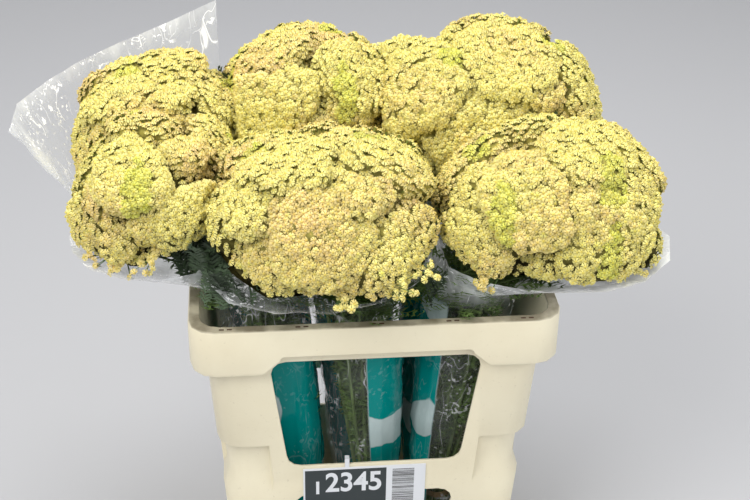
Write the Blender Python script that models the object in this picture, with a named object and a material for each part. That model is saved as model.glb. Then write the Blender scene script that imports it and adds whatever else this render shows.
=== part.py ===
"""Yarrow cut for market: six sleeved bunches standing in an open-sided flower bucket.

Each bunch is a tied bundle of stems, one stem to a flat-topped flower head, in a cone of clear film.
The heads of a bunch press into one crown, which leans out over the rim of the bucket.
Metres, +Z up, origin on the floor under the middle of the bucket, +Y to the back.
"""

import math

import bmesh
import bpy
import numpy as np
from mathutils import Matrix, Vector

MM = 0.001

# Driving dimensions of the bucket
RIM_LENGTH = 400 * MM
RIM_DEPTH = 300 * MM
BUCKET_HEIGHT = 440 * MM
SKIRT_HEIGHT = 57 * MM
BODY_LENGTH = 366 * MM
BODY_DEPTH = 276 * MM
DRAFT = math.radians(3.6)
WALL = 3 * MM
CORNER_RADIUS = 28 * MM

# Driving dimensions of the bunches
STEMS = 9
STEM_RADIUS = 3.4 * MM
TIE_HEIGHT = 130 * MM
FILM = 0.8 * MM
CLEARANCE = 0.3 * MM
UNDERSIDE = 498 * MM
LEAN_START = 446 * MM
CROWN_GAP = 1.4 * MM
FLORETS = 180
GOLDEN_ANGLE = math.pi * (3 - math.sqrt(5))

# Each bunch: where it stands on the floor, the middle of its crown, the crown's half length, half depth
# and rise, the height of its widest level, and, where the film flares up past it, how far out and how
# high over the crowns' underside the film stands at each sixteenth of a turn from +X.
FLARE = (
    (0, 0), (0, 0), (0, 0), (163, 156), (154, 126), (146, 110), (142, 102), (146, 96),
    (162, 94), (176, 92), (0, 0), (0, 0), (0, 0), (0, 0), (0, 0), (0, 0),
)
BUNCHES = (
    ("front_left", (-86, -46), (-226, -34), (90, 96, 116), 510, ()),
    ("front_middle", (0, -50), (-60, -86), (130, 112, 126), 503, ()),
    ("front_right", (86, -46), (188, -82), (124, 102, 117), 510, ()),
    ("back_left", (-86, 46), (-226, 104), (100, 106, 108), 528, FLARE),
    ("back_middle", (0, 50), (-62, 124), (106, 108, 136), 528, ()),
    ("back_right", (86, 46), (142, 112), (134, 114, 134), 528, ()),
)

COLOURS = {
    "bucket": ((0.79, 0.72, 0.56), 0.5),
    "label": ((0.85, 0.86, 0.88), 0.4),
    "heads": ((0.80, 0.68, 0.24), 0.85),
    "stems": ((0.10, 0.20, 0.07), 0.7),
    "sleeve": ((0.86, 0.90, 0.92), 0.1),
    "tie": ((0.45, 0.30, 0.16), 0.7),
}


def clear_scene():
    """Removes the objects that the scene starts with."""
    for obj in list(bpy.data.objects):
        bpy.data.objects.remove(obj)


def material(kind):
    """The plain finish of one kind of piece."""
    found = bpy.data.materials.get(kind)
    if found:
        return found
    made = bpy.data.materials.new(kind)
    made.use_nodes = True
    colour, roughness = COLOURS[kind]
    shader = made.node_tree.nodes["Principled BSDF"]
    shader.inputs["Base Color"].default_value = (*colour, 1)
    shader.inputs["Roughness"].default_value = roughness
    shader.inputs["Metallic"].default_value = 0
    return made


def add_object(name, kind, points, faces, smooth=False, closed=True):
    """A named mesh object with its finish, the faces of a closed one turned outwards."""
    mesh = bpy.data.meshes.new(name)
    mesh.from_pydata([tuple(p) for p in points], [], [tuple(f) for f in faces])
    if closed:
        work = bmesh.new()
        work.from_mesh(mesh)
        bmesh.ops.recalc_face_normals(work, faces=work.faces)
        work.to_mesh(mesh)
        work.free()
    if smooth:
        mesh.shade_smooth()
        mesh.set_sharp_from_angle(angle=math.radians(35))
    mesh.materials.append(material(kind))
    obj = bpy.data.objects.new(name, mesh)
    bpy.context.scene.collection.objects.link(obj)
    return obj


def bridge(rings):
    """Points and faces of rings joined one after another, with the first and last closed by a cap."""
    count = len(rings[0])
    points = [p for ring in rings for p in ring]
    faces = []
    for k in range(len(rings) - 1):
        for i in range(count):
            j = (i + 1) % count
            faces.append((k * count + i, k * count + j, (k + 1) * count + j, (k + 1) * count + i))
    faces.append(range(count - 1, -1, -1))
    faces.append(range((len(rings) - 1) * count, len(rings) * count))
    return points, faces


def union(name, kind, parts):
    """One object from several that overlap, by a Boolean union on a collection."""
    body, *others = parts
    group = bpy.data.collections.new(name + "_repeats")
    for other in others:
        bpy.context.scene.collection.objects.unlink(other)
        group.objects.link(other)
    joined = body.modifiers.new("join", "BOOLEAN")
    joined.operation = "UNION"
    joined.operand_type = "COLLECTION"
    joined.collection = group
    joined.solver = "EXACT"
    joined.use_self = False
    graph = bpy.context.evaluated_depsgraph_get()
    mesh = bpy.data.meshes.new_from_object(body.evaluated_get(graph))
    for part in parts:
        bpy.data.objects.remove(part)
    bpy.data.collections.remove(group)
    mesh.name = name
    mesh.materials.clear()
    mesh.materials.append(material(kind))
    made = bpy.data.objects.new(name, mesh)
    bpy.context.scene.collection.objects.link(made)
    return made


# The bucket

POCKET_SIDE = 30 * MM
POCKET_DEPTH = 7 * MM
POCKET_TOP = 272 * MM
POCKET_FOOT = 222 * MM
POCKET_RAMP = 17 * MM
CORNER_STEPS = 3
LAND = 12 * MM
FLOOR = 4 * MM
WINDOW_TOP = BUCKET_HEIGHT - 48 * MM
WINDOW_FOOT = BUCKET_HEIGHT - 199 * MM
WINDOW_HALF_TOP = 114 * MM
WINDOW_HALF_FOOT = 99 * MM
WINDOW_CORNER = 16 * MM
LOWER_WINDOW_TOP = BUCKET_HEIGHT - 244 * MM
LOWER_WINDOW_FOOT = 140 * MM
LOWER_WINDOW_HALF_TOP = 91 * MM
LOWER_WINDOW_HALF_FOOT = 84 * MM
NOTCH_TOP = BUCKET_HEIGHT - 34 * MM
NOTCH_HALF_TOP = 104 * MM
NOTCH_HALF_FOOT = 124 * MM


def outline(half_x, half_y, radius, z, pocket=0.0):
    """A rounded rectangle at height z, its corners set back by pocket over POCKET_SIDE of each side."""
    ring = []
    for quarter, (sx, sy) in enumerate(((1, 1), (-1, 1), (-1, -1), (1, -1))):
        corner = []
        reach = radius + POCKET_SIDE
        inner = Vector((half_x - pocket, half_y - pocket))
        corner.append((half_x, half_y - reach))
        corner.append((inner.x, half_y - reach + 2 * MM))
        for step in range(CORNER_STEPS + 1):
            angle = step / CORNER_STEPS * math.pi / 2
            corner.append(
                (inner.x - radius * (1 - math.cos(angle)), inner.y - radius * (1 - math.sin(angle)))
            )
        corner.append((half_x - reach + 2 * MM, inner.y))
        corner.append((half_x - reach, half_y))
        if quarter % 2:
            corner.reverse()
        ring += [(sx * x, sy * y, z) for x, y in corner]
    return ring


def body_half(z):
    """Half length and half depth of the tapered body's outside at height z."""
    drop = (BUCKET_HEIGHT - SKIRT_HEIGHT - z) * math.tan(DRAFT)
    return BODY_LENGTH / 2 - drop, BODY_DEPTH / 2 - drop


def bucket_rings():
    """The bucket's skin as rings: up the outside, round the hanging skirt and rim, and down the inside."""
    channel_roof = BUCKET_HEIGHT - 8 * MM
    skirt_foot = BUCKET_HEIGHT - SKIRT_HEIGHT
    rim = (RIM_LENGTH / 2, RIM_DEPTH / 2)
    step = 1.5 * MM

    def body(z, inset=0.0, pocket=0.0):
        half_x, half_y = body_half(z)
        return outline(half_x - inset, half_y - inset, CORNER_RADIUS - inset, z, pocket)

    def rim_ring(inset, z):
        return outline(rim[0] - inset, rim[1] - inset, CORNER_RADIUS - inset / 2, z)

    base = body(0, inset=step)
    return [
        base,
        body(step),
        body(POCKET_FOOT - POCKET_RAMP),
        body(POCKET_FOOT, pocket=POCKET_DEPTH),
        body(POCKET_TOP, pocket=POCKET_DEPTH),
        body(POCKET_TOP + step),
        body(channel_roof),
        rim_ring(WALL + step, channel_roof),
        rim_ring(WALL, skirt_foot + step),
        rim_ring(WALL, skirt_foot),
        rim_ring(step, skirt_foot),
        rim_ring(0, skirt_foot + 3 * step),
        rim_ring(0, BUCKET_HEIGHT - 2 * step),
        rim_ring(step, BUCKET_HEIGHT),
        rim_ring(LAND, BUCKET_HEIGHT),
        body(channel_roof, inset=WALL),
        body(POCKET_TOP + step + WALL, inset=WALL),
        body(POCKET_TOP + WALL, inset=WALL, pocket=POCKET_DEPTH),
        body(POCKET_FOOT - WALL, inset=WALL, pocket=POCKET_DEPTH),
        body(POCKET_FOOT - POCKET_RAMP - WALL, inset=WALL),
        body(FLOOR, inset=WALL + step),
    ]


def window_cutter(name, top, foot, half_top, half_foot, corner, y_from, y_to):
    """A prism along Y with a tapered window's rounded outline, which cuts one wall."""
    corners = (
        (half_top, top, 0),
        (-half_top, top, 90),
        (-half_foot, foot, 180),
        (half_foot, foot, 270),
    )
    shape = []
    for x, z, turn in corners:
        sx, sz = (1 if x > 0 else -1), (1 if z == top else -1)
        for step in range(4):
            angle = math.radians(turn + step * 30)
            shape.append(
                (x - sx * corner + corner * math.cos(angle), z - sz * corner + corner * math.sin(angle))
            )
    rings = [[(x, y, z) for x, z in shape] for y in (y_from, y_to)]
    cutter = add_object(name, "bucket", *bridge(rings))
    cutter.hide_render = True
    cutter.display_type = "WIRE"
    return cutter


def make_bucket():
    """The cream moulded bucket: windows front and back, a hanging skirt cut back over each window."""
    bucket = add_object("bucket", "bucket", *bridge(bucket_rings()))
    deep = RIM_DEPTH
    shallow = BODY_DEPTH / 2 + 3.4 * MM
    cutters = [
        window_cutter(
            "cut_windows",
            WINDOW_TOP,
            WINDOW_FOOT,
            WINDOW_HALF_TOP,
            WINDOW_HALF_FOOT,
            WINDOW_CORNER,
            -deep,
            deep,
        ),
        window_cutter(
            "cut_lower_windows",
            LOWER_WINDOW_TOP,
            LOWER_WINDOW_FOOT,
            LOWER_WINDOW_HALF_TOP,
            LOWER_WINDOW_HALF_FOOT,
            WINDOW_CORNER,
            -deep,
            deep,
        ),
    ]
    below_skirt = BUCKET_HEIGHT - SKIRT_HEIGHT - 20 * MM
    for side in (-1, 1):
        ends = sorted((side * shallow, side * deep))
        cutters.append(
            window_cutter(
                f"cut_notch_{side}",
                NOTCH_TOP,
                below_skirt,
                NOTCH_HALF_TOP,
                NOTCH_HALF_FOOT + 16 * MM,
                5 * MM,
                *ends,
            )
        )
    for cutter in cutters:
        cut = bucket.modifiers.new(cutter.name, "BOOLEAN")
        cut.operation = "DIFFERENCE"
        cut.object = cutter
        cut.solver = "EXACT"
    return bucket


# The label on its hook

LABEL_SIZE = (140 * MM, 60 * MM)
LABEL_THICKNESS = 1.4 * MM
LABEL_CENTRE_X = -11 * MM
LABEL_DROP = 4 * MM
HOOK_WIDTH = 5 * MM
HOOK_RISE = 9 * MM


def make_label():
    """A card that hangs against the front wall by a strip hooked over the window sill."""
    half_x = LABEL_SIZE[0] / 2
    wall_y = -body_half(WINDOW_FOOT)[1]
    lean = math.tan(DRAFT)
    front = CLEARANCE + LABEL_THICKNESS

    def at(x, out, z):
        return (LABEL_CENTRE_X + x, wall_y - out + (WINDOW_FOOT - z) * lean, z)

    top = WINDOW_FOOT - LABEL_DROP
    foot = top - LABEL_SIZE[1]
    card = [
        [at(x, out, z) for x, z in ((-half_x, foot), (half_x, foot), (half_x, top), (-half_x, top))]
        for out in (front, CLEARANCE)
    ]
    hook_x = -20 * MM
    over, down = WINDOW_FOOT + HOOK_RISE, WINDOW_FOOT - 12 * MM
    inside = -(WALL + CLEARANCE + 0.3 * MM)
    strip = LABEL_THICKNESS
    profile = (
        (front - 0.2 * MM, top - 3 * MM),
        (front - 0.2 * MM, over),
        (inside - strip, over),
        (inside - strip, down),
        (inside, down),
        (inside, over - strip),
        (CLEARANCE + 0.2 * MM, over - strip),
        (CLEARANCE + 0.2 * MM, top - 3 * MM),
    )
    hook = [
        [at(hook_x + side * HOOK_WIDTH / 2, out, z) for out, z in profile] for side in (-1, 1)
    ]
    pieces = [
        add_object("label_card", "label", *bridge(card)),
        add_object("label_hook", "label", *bridge(hook)),
    ]
    return union("label", "label", pieces)


# The bunches' shared layout

NEIGHBOUR_GAP = 3 * MM


def bunch_axis(bunch, z):
    """Where the middle of a bunch is at height z: upright in the bucket's foot, then leaning to its crown."""
    foot, top = Vector(bunch[1]) * MM, Vector(bunch[2]) * MM
    rim = foot + (top - foot) * 0.27
    knots = ((0.0, foot), (TIE_HEIGHT, foot), (LEAN_START, rim), (UNDERSIDE, top), (1.0, top))
    for (z_low, low), (z_high, high) in zip(knots, knots[1:]):
        if z <= z_high:
            return low.lerp(high, (z - z_low) / (z_high - z_low))
    return top


def crown_width(bunch, along):
    """The crown's half width in plan along a unit vector."""
    half_x, half_y, _ = bunch[3]
    return ((along.x / half_x) ** 2 + (along.y / half_y) ** 2) ** -0.5 * MM


def cell_reach(bunch, z, along, gap):
    """How far a bunch may reach at height z before it meets a neighbour's share of the room."""
    here = bunch_axis(bunch, z)
    lift = min(max((z - LEAN_START) / (UNDERSIDE - LEAN_START), 0), 1)
    reach = 1.0
    for other in BUNCHES:
        if other is bunch:
            continue
        apart = bunch_axis(other, z) - here
        facing = along.dot(apart.normalized())
        if facing < 1e-6:
            continue
        mine, theirs = (crown_width(b, apart.normalized()) for b in (bunch, other))
        share = 0.5 + (mine / (mine + theirs) - 0.5) * lift
        reach = min(reach, (apart.length * share - gap) / facing)
    return reach


# The crowns of flower heads

CROWN_POWER = 2.6
HEAD_DOME = 30 * MM
HEAD_SPREAD = 0.62
HEAD_DROP = 8 * MM
HEAD_LIFT = 5 * MM
FLORET_RISE = 6 * MM


def spiral_directions(count, lowest):
    """Unit vectors spread evenly by the golden angle, from straight up down to a height of lowest."""
    k = np.arange(count) + 0.5
    z = 1 - (1 - lowest) * k / count
    turn = k * GOLDEN_ANGLE
    flat = np.sqrt(np.clip(1 - z * z, 0, 1))
    return np.stack([flat * np.cos(turn), flat * np.sin(turn), z], 1)


def head_directions(bunch):
    """The direction of each flower head from the middle of its bunch's crown."""
    number = BUNCHES.index(bunch)
    ways = spiral_directions(STEMS, -0.12)
    turn = 0.7 + 1.9 * number
    spun = Matrix.Rotation(turn, 3, "Z")
    return np.array([spun @ Vector(w) for w in ways])


def crown_radius(bunch, ways, raised):
    """How far the crown reaches along each direction: a blunt egg, its heads' domes, and the florets."""
    _, _, _, (half_x, half_y, rise), _, _ = bunch
    halves = np.array([half_x, half_y, rise]) * MM
    egg = (np.abs(ways / halves) ** CROWN_POWER).sum(1) ** (-1 / CROWN_POWER)
    heads = head_directions(bunch)
    random = np.random.default_rng(40 + BUNCHES.index(bunch))
    lifts = random.uniform(-HEAD_LIFT, HEAD_LIFT, len(heads))
    angles = np.arccos(np.clip(ways @ heads.T, -1, 1))
    domes = lifts + HEAD_DOME * (1 - (angles / HEAD_SPREAD) ** 2)
    relief = np.maximum(domes.max(1), HEAD_DROP) - HEAD_DOME
    return egg + relief + np.where(raised, FLORET_RISE, 0)


def floret_mesh(count):
    """Directions and faces of a ball of low pyramids: one peak to a floret, ringed by shared hollows."""
    work = bmesh.new()
    peaks = np.concatenate([spiral_directions(count, -0.45), [[0, 0, -1.0]]])
    for way in peaks:
        work.verts.new(way)
    bmesh.ops.convex_hull(work, input=work.verts)
    work.verts.index_update()
    work.faces.index_update()
    hollows = np.array([face.calc_center_median().normalized() for face in work.faces])
    faces = []
    for peak in work.verts:
        loops = {}
        for face in peak.link_faces:
            ring = [v.index for v in face.verts]
            at = ring.index(peak.index)
            loops[ring[(at + 1) % 3]] = (ring[(at + 2) % 3], face.index)
        start = next(iter(loops))
        step = start
        while True:
            following, face = loops[step]
            after = loops[following][1]
            faces.append((peak.index, len(peaks) + face, len(peaks) + after))
            step = following
            if step == start:
                break
    work.free()
    ways = np.concatenate([peaks, hollows])
    raised = np.arange(len(ways)) < len(peaks)
    return ways, raised, faces


def make_heads(bunch):
    """The flower heads of one bunch, pressed into one crown, flat below and flat against its neighbours."""
    name, _, crown, _, level, _ = bunch
    ways, raised, faces = floret_mesh(FLORETS)
    reach = crown_radius(bunch, ways, raised)
    centre = np.array([*crown, level]) * MM
    points = []
    for way, far in zip(ways, reach):
        flat = Vector(way[:2])
        if flat.length > 1e-6:
            room = cell_reach(bunch, 1.0, flat.normalized(), CROWN_GAP / 2)
            far = min(far, room / flat.length)
        if way[2] < 0:
            far = min(far, (level * MM - UNDERSIDE) / -way[2])
        points.append(centre + way * far)
    return add_object(f"{name}_heads", "heads", points, faces)


# The stems and leaves

STEM_SIDES = 5
STEM_SPREAD = (
    (FLOOR + CLEARANCE, 0.26),
    (TIE_HEIGHT, 0.115),
    (LEAN_START, 0.5),
    (UNDERSIDE - CLEARANCE, 1.0),
)
KNOT_RADIUS = 10 * MM
KNOT_HEIGHT = 10 * MM
CROWN_EDGE = 42 * MM
LEAVES = 2
LEAF_FOOT = 226 * MM
LEAF_STEP = 12 * MM
LEAF_LENGTH = 160 * MM
LEAF_REACH = 24 * MM
LEAF_HALF_WIDTH = 12 * MM
LEAF_THICKNESS = 0.9 * MM
LEAFLETS = 5


def tube(name, path, radius, sides):
    """A round stem through the points of path, cut level at both ends."""
    turns = [i / sides * 2 * math.pi for i in range(sides)]
    rings = [
        [(p[0] + radius * math.cos(turn), p[1] + radius * math.sin(turn), p[2]) for turn in turns]
        for p in path
    ]
    return add_object(name, "stems", *bridge(rings))


def stem_path(bunch, way):
    """A stem's points from its cut end, through the tie, to the underside of its flower head."""
    flat = Vector(way[:2])
    along = flat.normalized()
    room = cell_reach(bunch, UNDERSIDE, along, 27 * MM)
    offset = flat * min(crown_width(bunch, along) - CROWN_EDGE, room)
    path = []
    for z, share in STEM_SPREAD:
        middle = bunch_axis(bunch, z)
        path.append((middle.x + offset.x * share, middle.y + offset.y * share, z))
    return path


def stem_at(path, z):
    """The point of a stem's path at height z."""
    for low, high in zip(path, path[1:]):
        if z <= high[2]:
            return Vector(low).lerp(Vector(high), (z - low[2]) / (high[2] - low[2]))
    return Vector(path[-1])


def leaf(name, path, turn, foot):
    """A feathery leaf: leaflets cut to the rib along one thin arched blade, rooted in a stem."""
    along = Vector((math.cos(turn), math.sin(turn), 0))
    across = Vector((-along.y, along.x, 0))
    count = LEAFLETS * 2 + 1
    left, rib, right = [], [], []
    for i in range(count):
        t = i / (count - 1)
        middle = stem_at(path, foot + LEAF_LENGTH * t) + along * LEAF_REACH * t**1.4
        wide = LEAF_HALF_WIDTH * math.sin(math.pi * (0.12 + 0.84 * t)) ** 0.7
        half = wide if i % 2 else 0.16 * LEAF_HALF_WIDTH
        lift = Vector((0, 0, 0.4 * half))
        left.append(middle + across * half + lift)
        rib.append(middle)
        right.append(middle - across * half + lift)
    front = [*left, *rib, *right]
    points = [*front, *[p + along * LEAF_THICKNESS for p in front]]
    faces = []
    for base in (0, len(front)):
        for i in range(count - 1):
            a, c, e = base + i, base + count + i, base + 2 * count + i
            faces += [(a, a + 1, c + 1), (a, c + 1, c), (c, c + 1, e + 1), (c, e + 1, e)]
    edge = [*range(count), 2 * count - 1, *range(3 * count - 1, 2 * count - 1, -1), count]
    for here, after in zip(edge, [*edge[1:], edge[0]]):
        faces.append((here, after, after + len(front), here + len(front)))
    return add_object(name, "stems", points, faces)


def make_stems(bunch):
    """The stems of one bunch, joined where the tie presses them together, with their leaves."""
    name = bunch[0]
    paths = [stem_path(bunch, way) for way in head_directions(bunch)]
    parts = [
        tube(f"{name}_stem_{k}", path, STEM_RADIUS, STEM_SIDES) for k, path in enumerate(paths)
    ]
    foot = bunch_axis(bunch, TIE_HEIGHT)
    knot = [(foot.x, foot.y, TIE_HEIGHT + side * KNOT_HEIGHT / 2) for side in (-1, 1)]
    parts.append(tube(f"{name}_knot", knot, KNOT_RADIUS, 10))
    for k in range(LEAVES):
        turn = 0.9 + k * 2 * math.pi / LEAVES + BUNCHES.index(bunch)
        parts.append(leaf(f"{name}_leaf_{k}", paths[k], turn, LEAF_FOOT + k * LEAF_STEP))
    return union(f"{name}_stems", "stems", parts)


# The sleeves and ties

SLEEVE_SIDES = 16
SLEEVE_FOOT = ((90 * MM, 30 * MM), (200 * MM, 42 * MM), (330 * MM, 50 * MM), (LEAN_START, 53 * MM))
SLEEVE_SPREAD = ((-20 * MM, 0.76, 0.84), (-8 * MM, 0.9, 0.92), (-0.5 * MM, 1.0, 1.0))
FLARE_CLEAR = 122 * MM
TIE_SIZE = (1.8 * MM, 7 * MM)
TIE_SIDES = 10


def closed_strip(rings):
    """Faces of rings joined in a loop, so that the last ring joins the first."""
    count = len(rings[0])
    faces = []
    for k in range(len(rings)):
        after = (k + 1) % len(rings)
        for i in range(count):
            j = (i + 1) % count
            faces.append((k * count + i, k * count + j, after * count + j, after * count + i))
    return [p for ring in rings for p in ring], faces


def sleeve_column(bunch, side):
    """The film's inner points from foot to lip at one sixteenth of a turn round the bunch."""
    turn = side / SLEEVE_SIDES * 2 * math.pi
    along = Vector((math.cos(turn), math.sin(turn)))
    outward = max(0.0, along.dot(Vector(bunch[2]).normalized()))
    lip = crown_width(bunch, along) * (1.0 + 0.12 * outward)
    knots = [(z, min(reach, cell_reach(bunch, z, along, NEIGHBOUR_GAP))) for z, reach in SLEEVE_FOOT]
    for drop, share, share_of_room in SLEEVE_SPREAD:
        z = UNDERSIDE + drop
        room = cell_reach(bunch, z, along, NEIGHBOUR_GAP) * share_of_room
        knots.append((z, min(lip * share, room)))
    flare_out, flare_up = bunch[5][side] if bunch[5] else (0, 0)
    if flare_out:
        knots[-2] = (knots[-2][0], FLARE_CLEAR)
        knots[-1] = (UNDERSIDE + flare_up * MM, flare_out * MM)
    column = []
    for z, reach in knots:
        middle = bunch_axis(bunch, z)
        column.append((middle.x + reach * along.x, middle.y + reach * along.y, z))
    return column


def make_sleeve(bunch):
    """A clear film cone, open at both ends, flattened where it presses on its neighbours."""
    columns = [sleeve_column(bunch, side) for side in range(SLEEVE_SIDES)]
    levels = len(columns[0])
    points = [columns[i][k] for k in range(levels) for i in range(SLEEVE_SIDES)]
    faces = []
    for k in range(levels - 1):
        for i in range(SLEEVE_SIDES):
            j = (i + 1) % SLEEVE_SIDES
            low, high = k * SLEEVE_SIDES, (k + 1) * SLEEVE_SIDES
            faces.append((low + i, low + j, high + j, high + i))
    sleeve = add_object(f"{bunch[0]}_sleeve", "sleeve", points, faces, smooth=True, closed=False)
    film = sleeve.modifiers.new("film", "SOLIDIFY")
    film.thickness = FILM
    film.offset = 1
    film.use_quality_normals = True
    return sleeve


def make_tie(bunch):
    """The rubber band round the bundle, a plain ring that just clears the outermost stem."""
    middle = bunch_axis(bunch, TIE_HEIGHT)
    thick, tall = TIE_SIZE
    reach = 0.0
    for way in head_directions(bunch):
        path = stem_path(bunch, way)
        for z in (TIE_HEIGHT - tall / 2, TIE_HEIGHT + tall / 2):
            reach = max(reach, (stem_at(path, z).to_2d() - middle).length)
    inside = (reach + STEM_RADIUS + CLEARANCE) / math.cos(math.pi / TIE_SIDES)
    rings = []
    for more, z in ((0, -tall / 2), (thick, -tall / 2), (thick, tall / 2), (0, tall / 2)):
        ring = []
        for i in range(TIE_SIDES):
            turn = i / TIE_SIDES * 2 * math.pi
            out = inside + more
            ring.append((middle.x + out * math.cos(turn), middle.y + out * math.sin(turn), TIE_HEIGHT + z))
        rings.append(ring)
    points, faces = closed_strip(rings)
    return add_object(f"{bunch[0]}_tie", "tie", points, faces)


def main():
    clear_scene()
    make_bucket()
    make_label()
    for bunch in BUNCHES:
        make_heads(bunch)
        make_stems(bunch)
        make_sleeve(bunch)
        make_tie(bunch)


main()
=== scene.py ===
"""Yarrow cut for market: six sleeved bunches in an open-sided flower bucket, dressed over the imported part."""

import math

import bmesh
import bpy
import numpy as np
from mathutils import Matrix, Vector
from mathutils.kdtree import KDTree


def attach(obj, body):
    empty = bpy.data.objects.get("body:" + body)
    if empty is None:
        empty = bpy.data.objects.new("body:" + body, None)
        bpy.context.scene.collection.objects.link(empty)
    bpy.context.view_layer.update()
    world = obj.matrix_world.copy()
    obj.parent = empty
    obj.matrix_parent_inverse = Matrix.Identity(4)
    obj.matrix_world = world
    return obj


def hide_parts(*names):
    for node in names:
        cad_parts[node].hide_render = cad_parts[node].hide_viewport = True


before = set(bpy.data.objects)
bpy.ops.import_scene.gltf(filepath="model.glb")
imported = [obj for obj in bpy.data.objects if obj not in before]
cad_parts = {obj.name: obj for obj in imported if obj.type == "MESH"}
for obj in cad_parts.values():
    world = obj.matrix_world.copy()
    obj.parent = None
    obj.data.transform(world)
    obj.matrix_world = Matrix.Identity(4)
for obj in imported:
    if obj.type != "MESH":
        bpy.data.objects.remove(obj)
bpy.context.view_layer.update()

# The bucket: one cream injection moulding with rounded edges, a hanging skirt and open windows.
# It is scuffed and dusty from the auction, darkest on the land of its rim, where the drain slots are.
BUCKET_HEIGHT = 0.440
EDGE_ROUND = 0.0012
EDGE_ANGLE = math.radians(40)
CREAM, DULL_CREAM = (0.865, 0.795, 0.595, 1), (0.80, 0.72, 0.52, 1)
SPECK_BROWN = (0.36, 0.28, 0.17, 1)
LAND_DIRT = (0.30, 0.26, 0.175, 1)


def new_piece(name, mesh):
    """An object at the origin that holds the mesh."""
    piece = bpy.data.objects.new(name, mesh)
    bpy.context.scene.collection.objects.link(piece)
    return piece


def merged_copy(node_name, piece_name):
    """A copy of a CAD node with its loose triangles merged and its flat faces made whole."""
    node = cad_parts[node_name]
    work = bmesh.new()
    work.from_mesh(node.data)
    bmesh.ops.transform(work, matrix=node.matrix_world, verts=work.verts)
    bmesh.ops.remove_doubles(work, verts=work.verts, dist=2e-6)
    bmesh.ops.dissolve_limit(work, angle_limit=math.radians(0.6), verts=work.verts, edges=work.edges)
    mesh = bpy.data.meshes.new(piece_name)
    work.to_mesh(mesh)
    work.free()
    return new_piece(piece_name, mesh)


class Finish:
    """A material in the making: its shader's sockets, and short ways to add nodes and join them."""

    def __init__(self, name, roughness, colour=None):
        self.material = bpy.data.materials.new(name)
        self.material.use_nodes = True
        self.tree = self.material.node_tree
        self.shader = self.tree.nodes["Principled BSDF"].inputs
        self.shader["Roughness"].default_value = roughness
        if colour:
            self.shader["Base Color"].default_value = colour

    def add(self, kind, **values):
        """A node of a kind, with its inputs and its settings given by name."""
        node = self.tree.nodes.new(kind)
        for key, value in values.items():
            if key in node.inputs:
                node.inputs[key].default_value = value
            else:
                setattr(node, key, value)
        return node

    def feed(self, socket, value):
        """A socket joined to another, or set to a plain value."""
        if isinstance(value, bpy.types.NodeSocket):
            self.tree.links.new(value, socket)
        else:
            socket.default_value = value

    def place(self, scale=None):
        """Where a point lies on the object, stretched where a scale is given."""
        where = self.add("ShaderNodeTexCoord").outputs["Object"]
        if scale is None:
            return where
        stretched = self.add("ShaderNodeMapping", Scale=scale)
        self.feed(stretched.inputs["Vector"], where)
        return stretched.outputs["Vector"]

    def height(self):
        """How high a point lies."""
        parts = self.add("ShaderNodeSeparateXYZ")
        self.feed(parts.inputs[0], self.place())
        return parts.outputs["Z"]

    def noise(self, where, scale, detail, **more):
        """Soft noise from 0 to 1."""
        node = self.add("ShaderNodeTexNoise", Scale=scale, Detail=detail, **more)
        self.feed(node.inputs["Vector"], where)
        return node.outputs["Fac"]

    def number(self, operation, *values):
        """Numbers joined by one operation, taken from the left where there are more than two."""
        total = values[0]
        for value in values[1:] or (None,):
            node = self.add("ShaderNodeMath", operation=operation)
            self.feed(node.inputs[0], total)
            if value is not None:
                self.feed(node.inputs[1], value)
            total = node.outputs[0]
        return total

    def band(self, value, low, high, first=0.0, last=1.0):
        """A number that runs from first at low to last at high, and stays level outside them."""
        ends = {"From Min": low, "From Max": high, "To Min": first, "To Max": last}
        node = self.add("ShaderNodeMapRange", **ends)
        self.feed(node.inputs["Value"], value)
        return node.outputs["Result"]

    def mix(self, share, first, second):
        """A colour that goes from first to second by the share."""
        node = self.add("ShaderNodeMix", data_type="RGBA")
        for slot, value in ((0, share), (6, first), (7, second)):
            self.feed(node.inputs[slot], value)
        return node.outputs[2]


def bucket_finish():
    """Cream plastic: faint blotches, fine brown specks that stand a little proud, dirt on the rim's land."""
    plastic = Finish("bucket_plastic", 0.42)
    place = plastic.place()
    grit = plastic.noise(place, 160.0, 8.0, Roughness=0.75)
    blotches = plastic.band(plastic.noise(place, 9.0, 6.0, Roughness=0.6), 0.35, 0.75)
    specks = plastic.band(grit, 0.60, 0.72, 0.0, 0.35)
    land = plastic.band(plastic.height(), BUCKET_HEIGHT - 0.0016, BUCKET_HEIGHT - 0.0004)
    smears = plastic.band(plastic.noise(place, 38.0, 5.0), 0.35, 0.60, 0.40, 1.0)
    clean = plastic.mix(specks, plastic.mix(blotches, CREAM, DULL_CREAM), SPECK_BROWN)
    dirty = plastic.mix(plastic.number("MULTIPLY", land, smears), clean, LAND_DIRT)
    plastic.feed(plastic.shader["Base Color"], dirty)
    bump = plastic.add("ShaderNodeBump", Strength=0.12, Distance=0.0006)
    plastic.feed(bump.inputs["Height"], grit)
    plastic.feed(plastic.shader["Normal"], bump.outputs["Normal"])
    return plastic.material


bucket = merged_copy("bucket", "bucket_moulding")
bucket.data.materials.append(bucket_finish())
rounding = bucket.modifiers.new("rounded_edges", "BEVEL")
rounding.width = EDGE_ROUND
rounding.segments = 2
rounding.limit_method = "ANGLE"
rounding.angle_limit = EDGE_ANGLE
bucket.data.shade_smooth()
bucket.data.set_sharp_from_angle(angle=EDGE_ANGLE)
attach(bucket, "root")
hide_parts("bucket")

# The drain slots: short cuts through the front and back land of the rim, in pairs, dark because they
# open below. Each is a thin dark slab that lies on the land.
SLOT_SIZE = (0.0052, 0.0022, 0.0003)
SLOT_PAIRS_AT = (-0.160, -0.080, 0.0, 0.080, 0.160)
SLOT_FROM_PAIR = 0.0042
LAND_MIDDLE = 0.1436
SLOT_FOOT = BUCKET_HEIGHT - 0.0001


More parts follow.
